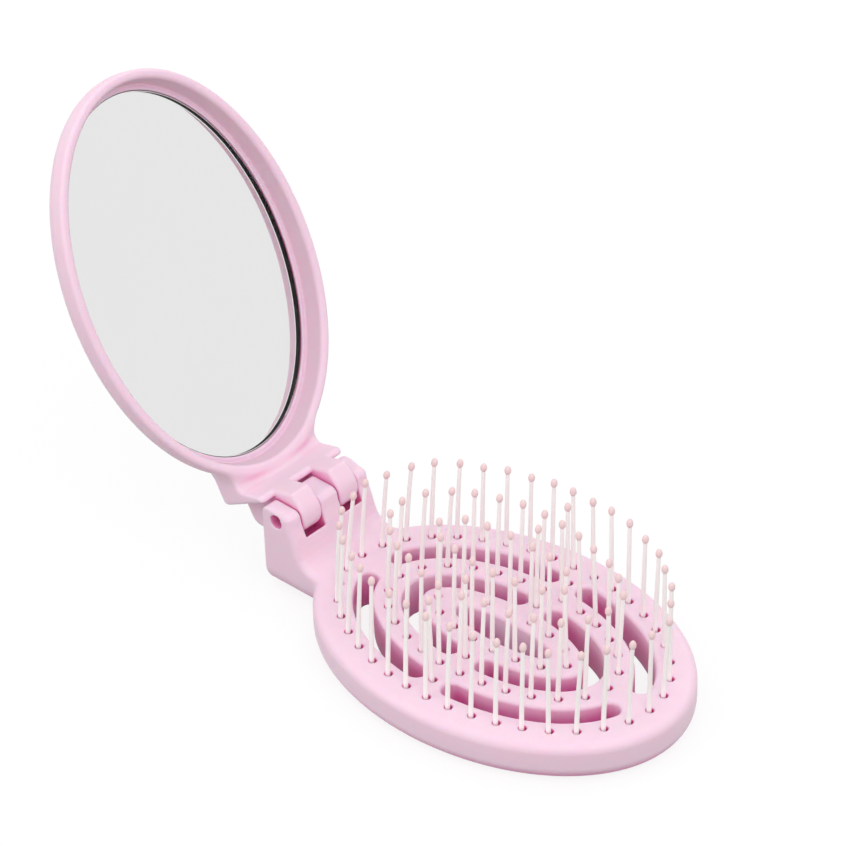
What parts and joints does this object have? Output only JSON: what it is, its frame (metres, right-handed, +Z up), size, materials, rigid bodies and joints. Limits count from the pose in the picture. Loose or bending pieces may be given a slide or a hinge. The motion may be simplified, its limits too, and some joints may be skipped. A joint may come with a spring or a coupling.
{
  "type": "folding hairbrush with mirror",
  "caption": "Pocket hairbrush whose oval mirror frame folds over an oval vented head with ball-tipped pins, on a pinned friction hinge.",
  "frame": {"origin": "on the flat underside of the hinge block, straight below the middle of the hinge axis", "axes": "+X from the hinge to the free end of the brush head, +Y along the hinge axis, +Z up out of the face that carries the pins"},
  "size_m": [0.1485, 0.0602, 0.0967],
  "materials": {
    "pink_plastic": "fine matte moulded ABS, pale pink",
    "white_nylon": "smooth off-white nylon",
    "tip_bead": "smooth pale pink dipped bead",
    "pin_steel": "plain drawn steel",
    "mirror_glass": "silvered float glass",
    "adhesive_foam": "double-sided foam pad"
  },
  "bodies": {
    "brush": {"head_shell": "pink_plastic", "head_back": "pink_plastic", "outer_pin_strip": "white_nylon", "middle_pin_strip": "white_nylon", "inner_pin_strip": "white_nylon", "outer_pin_tips": "tip_bead", "middle_pin_tips": "tip_bead", "inner_pin_tips": "tip_bead", "hinge_pin": "pin_steel"},
    "mirror": {"mirror_frame": "pink_plastic", "mirror_glass": "mirror_glass", "mirror_pad": "adhesive_foam"}
  },
  "joints": [
    {"name": "mirror_hinge", "type": "hinge", "parent": "brush", "child": "mirror", "pos_m": [0, 0, 0.0175], "axis": [0, 1, 0], "range_deg": [-12.2, 117.8]}
  ]
}
